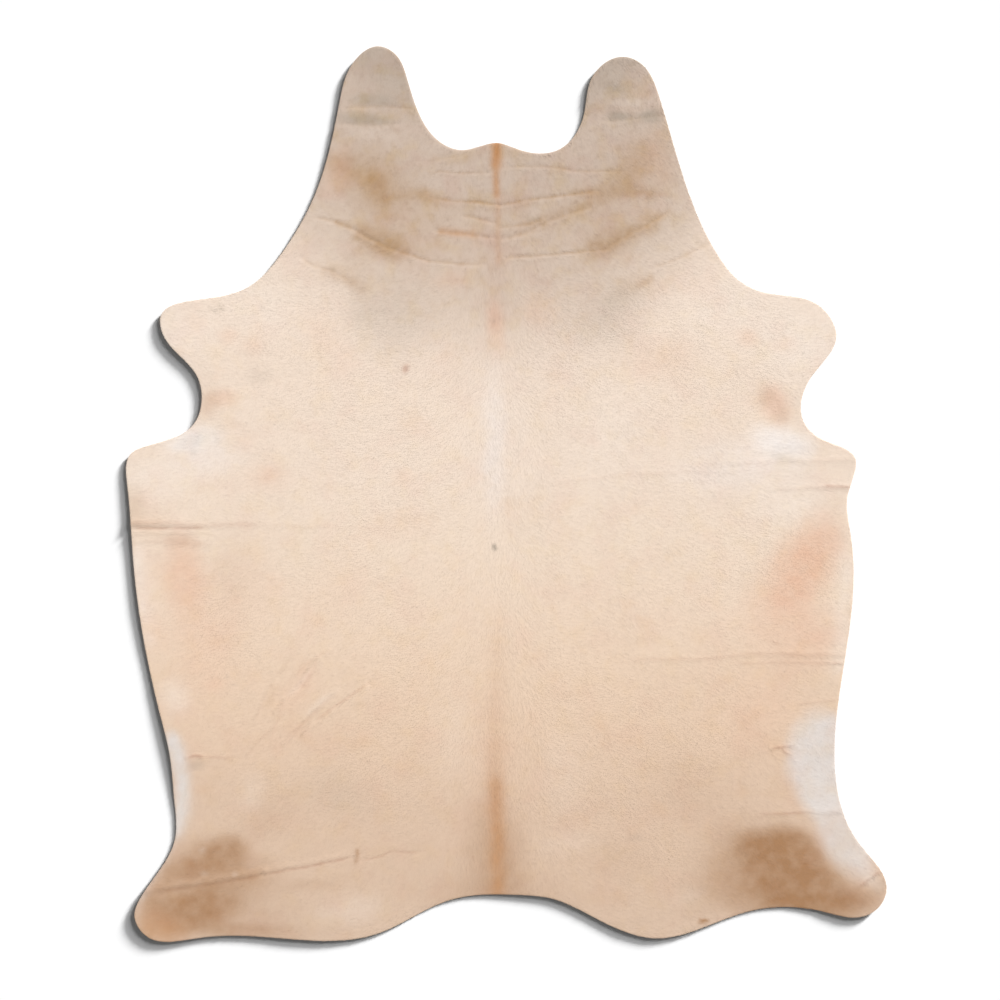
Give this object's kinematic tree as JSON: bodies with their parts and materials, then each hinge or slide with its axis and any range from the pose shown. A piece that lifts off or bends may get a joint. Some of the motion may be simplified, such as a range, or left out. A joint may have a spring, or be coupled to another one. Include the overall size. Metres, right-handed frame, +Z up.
{
  "type": "cowhide rug",
  "caption": "One whole hair-on cowhide in pale beige with a smooth wavy outline, laid flat as a floor rug.",
  "frame": {"origin": "On the floor under the middle of the hide's bounding box.", "axes": "+X to the right and +Y from the rump to the neck as seen from above, +Z up, hair side up."},
  "size_m": [1.8295, 2.1542, 0.0109],
  "materials": {
    "hide": "short beige hair lying flat, matt with a faint sheen"
  },
  "bodies": {
    "root": {"hide": "hide"}
  },
  "joints": []
}
